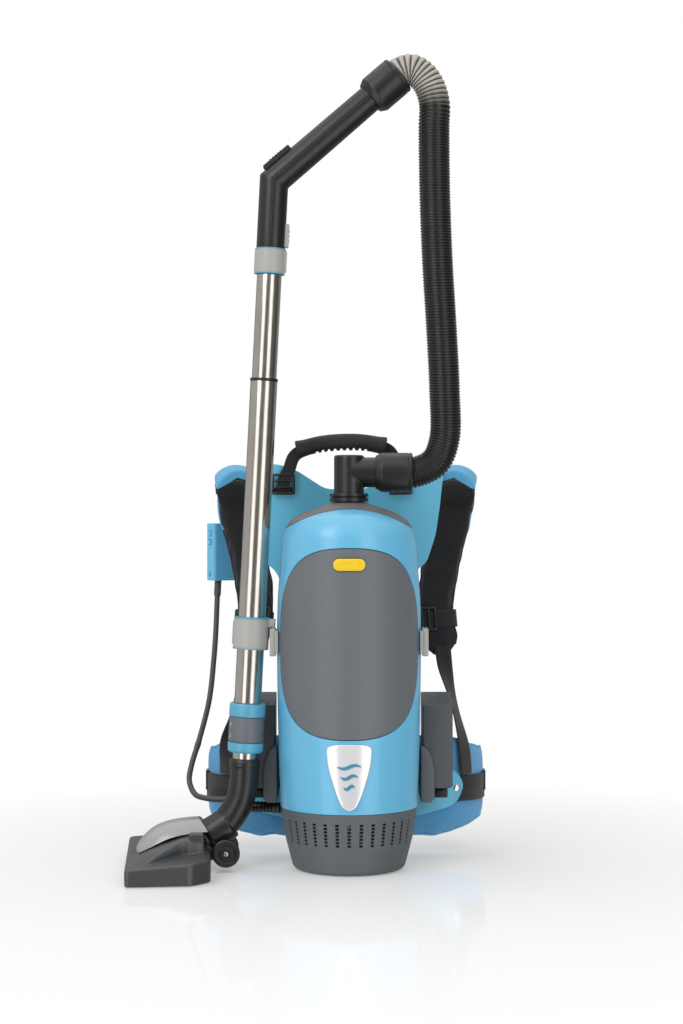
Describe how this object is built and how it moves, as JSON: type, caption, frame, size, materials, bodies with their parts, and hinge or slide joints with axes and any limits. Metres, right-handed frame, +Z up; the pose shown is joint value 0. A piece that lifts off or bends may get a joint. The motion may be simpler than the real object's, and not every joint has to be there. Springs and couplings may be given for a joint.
{
  "type": "backpack vacuum cleaner",
  "caption": "Backpack vacuum: round canister with hinged cover on a padded harness, side batteries, ribbed hose, telescopic steel wand and swivelling floor tool.",
  "frame": {"origin": "middle of the canister's flat base, on the floor", "axes": "+Z up, -Y towards the front cover, +Y towards the wearer, wand parked on the -X side"},
  "size_m": [0.486, 0.3828, 1.0498],
  "materials": {
    "body_blue": "satin moulded",
    "plate_teal": "satin moulded",
    "panel_grey": "fine matt",
    "base_grey": "fine matt",
    "cap_grey": "fine matt",
    "latch_yellow": "satin",
    "badge_pearl": "gloss",
    "light_grey": "satin",
    "black_plastic": "satin",
    "rubber_black": "matt",
    "stainless": "polished",
    "black_fabric": "air mesh",
    "belt_fabric": "woven",
    "battery_grey": "fine matt",
    "paper": "fleece",
    "metal_dark": "satin"
  },
  "bodies": {
    "backpack": {"main_shell": "body_blue", "top_cap": "cap_grey", "badge_plate": "badge_pearl", "base_housing": "base_grey", "dust_bag": "paper", "motor_unit": "metal_dark", "exhaust_filter": "paper", "parking_lug_left": "light_grey", "parking_lug_right": "light_grey", "neck_ring": "black_plastic", "back_plate": "plate_teal", "shoulder_strap_left": "black_fabric", "shoulder_strap_right": "black_fabric", "strap_webbing_left": "black_fabric", "strap_webbing_right": "black_fabric", "strap_keeper_left": "black_plastic", "strap_keeper_right": "black_plastic", "hip_belt": "belt_fabric", "hip_band": "black_fabric", "belt_buckle_left": "black_plastic", "belt_buckle_right": "black_plastic", "ladder_lock_left": "black_plastic", "ladder_lock_right": "black_plastic", "battery_dock_left": "base_grey", "battery_dock_right": "base_grey", "control_box": "body_blue", "power_cable": "rubber_black", "cable_conduit": "rubber_black"},
    "front_cover": {"front_cover": "panel_grey"},
    "cover_latch": {"cover_latch": "latch_yellow"},
    "inlet": {"inlet_elbow": "black_plastic", "hose": "rubber_black"},
    "lower_cuff": {"hose_cuff_lower": "black_plastic"},
    "wand": {"lower_tube": "stainless", "tube_end_ring": "black_plastic", "wand_clip": "light_grey", "lock_collar": "plate_teal", "neck_tube": "stainless", "neck_elbow": "black_plastic"},
    "handle": {"upper_tube": "stainless", "handle_collar": "light_grey", "wand_handle": "black_plastic"},
    "upper_cuff": {"hose_cuff_upper": "black_plastic"},
    "suction_slider": {"suction_slider": "black_plastic"},
    "handle_latch": {"handle_latch": "light_grey"},
    "lock_sleeve": {"lock_sleeve": "panel_grey"},
    "knuckle": {"knuckle": "black_plastic"},
    "wheel_near": {"wheel_near": "rubber_black"},
    "wheel_far": {"wheel_far": "rubber_black"},
    "floor_tool": {"tool_body": "black_plastic", "tool_sole": "black_plastic"},
    "brush": {"brush_frame": "black_plastic"},
    "foot_pedal": {"foot_pedal": "light_grey"},
    "fan": {"fan_impeller": "metal_dark"},
    "carry_handle": {"carry_grip": "rubber_black", "grip_webbing": "black_fabric"},
    "battery_left": {"battery_left": "battery_grey"},
    "battery_right": {"battery_right": "battery_grey"},
    "power_button": {"power_button": "black_plastic"},
    "speed_button": {"speed_button": "black_plastic"}
  },
  "joints": [
    {"name": "cover_open", "type": "hinge", "parent": "backpack", "child": "front_cover", "pos_m": [0, -0.094, 0.1745], "axis": [1, 0, 0], "range_deg": [0, 95]},
    {"name": "cover_latch_press", "type": "slide", "parent": "front_cover", "child": "cover_latch", "axis": [0, 1, 0], "range_m": [0, 0.003]},
    {"name": "inlet_turn", "type": "hinge", "parent": "backpack", "child": "inlet", "pos_m": [0, 0, 0.48], "axis": [0, 0, 1], "range_deg": [-25, 20], "deforming": ["hose"]},
    {"name": "lower_cuff_turn", "type": "hinge", "parent": "inlet", "child": "lower_cuff", "pos_m": [0.058, 0, 0.5135], "axis": [1, 0, 0], "continuous": true},
    {"name": "wand_lift", "type": "slide", "parent": "backpack", "child": "wand", "axis": [0.0504, 0, 0.9987], "range_m": [0, 0.045]},
    {"name": "wand_telescope", "type": "slide", "parent": "wand", "child": "handle", "axis": [0.0504, 0, 0.9987], "range_m": [-0.1, 0.06]},
    {"name": "upper_cuff_turn", "type": "hinge", "parent": "handle", "child": "upper_cuff", "pos_m": [0.04723, -0.012, 1.01354], "axis": [0.7592, 0, 0.6509], "continuous": true},
    {"name": "suction_relief", "type": "slide", "parent": "handle", "child": "suction_slider", "axis": [0.7592, 0, 0.6509], "range_m": [0, 0.014]},
    {"name": "handle_latch_press", "type": "slide", "parent": "handle", "child": "handle_latch", "axis": [-0.9987, 0, 0.0504], "range_m": [0, 0.0012]},
    {"name": "lock_sleeve_twist", "type": "hinge", "parent": "wand", "child": "lock_sleeve", "pos_m": [-0.13287, -0.012, 0.17977], "axis": [0.0504, 0, 0.9987], "range_deg": [0, 60]},
    {"name": "neck_swivel", "type": "hinge", "parent": "wand", "child": "knuckle", "pos_m": [-0.18, -0.012, 0.043], "axis": [-0.8192, 0, -0.5736], "range_deg": [-5, 25]},
    {"name": "wheel_near_spin", "type": "hinge", "parent": "knuckle", "child": "wheel_near", "pos_m": [-0.16006, -0.01041, 0.0245], "axis": [-0.0793, 0.9968, 0], "continuous": true},
    {"name": "wheel_far_spin", "type": "hinge", "parent": "knuckle", "child": "wheel_far", "pos_m": [-0.16006, -0.01041, 0.0245], "axis": [-0.0793, 0.9968, 0], "continuous": true},
    {"name": "tool_tilt", "type": "hinge", "parent": "knuckle", "child": "floor_tool", "pos_m": [-0.20293, -0.01383, 0.034], "axis": [0.0793, -0.9968, 0], "range_deg": [-3, 20]},
    {"name": "pedal_rock", "type": "hinge", "parent": "floor_tool", "child": "foot_pedal", "pos_m": [-0.23716, -0.01353, 0.04], "axis": [0.0793, -0.9968, 0], "range_deg": [0, 4]},
    {"name": "brush_retract", "type": "slide", "parent": "floor_tool", "child": "brush", "axis": [0, 0, 1], "range_m": [0, 0.0051]},
    {"name": "fan_spin", "type": "hinge", "parent": "backpack", "child": "fan", "pos_m": [0, 0, 0.1], "axis": [0, 0, 1], "continuous": true},
    {"name": "carry_handle_swing", "type": "hinge", "parent": "backpack", "child": "carry_handle", "pos_m": [-0.009, 0.088, 0.505], "axis": [1, 0, 0], "range_deg": [-22, 28]},
    {"name": "battery_left_lift", "type": "slide", "parent": "backpack", "child": "battery_left", "axis": [0, 0, 1], "range_m": [0, 0.06]},
    {"name": "battery_right_lift", "type": "slide", "parent": "backpack", "child": "battery_right", "axis": [0, 0, 1], "range_m": [0, 0.06]},
    {"name": "power_button_press", "type": "slide", "parent": "backpack", "child": "power_button", "axis": [0.848, 0.5299, 0], "range_m": [0, 0.0012]},
    {"name": "speed_button_press", "type": "slide", "parent": "backpack", "child": "speed_button", "axis": [0.848, 0.5299, 0], "range_m": [0, 0.0012]}
  ],
  "couplings": [
    {"joint": "brush_retract", "follows": "pedal_rock", "m_per_rad": 0.07162}
  ]
}
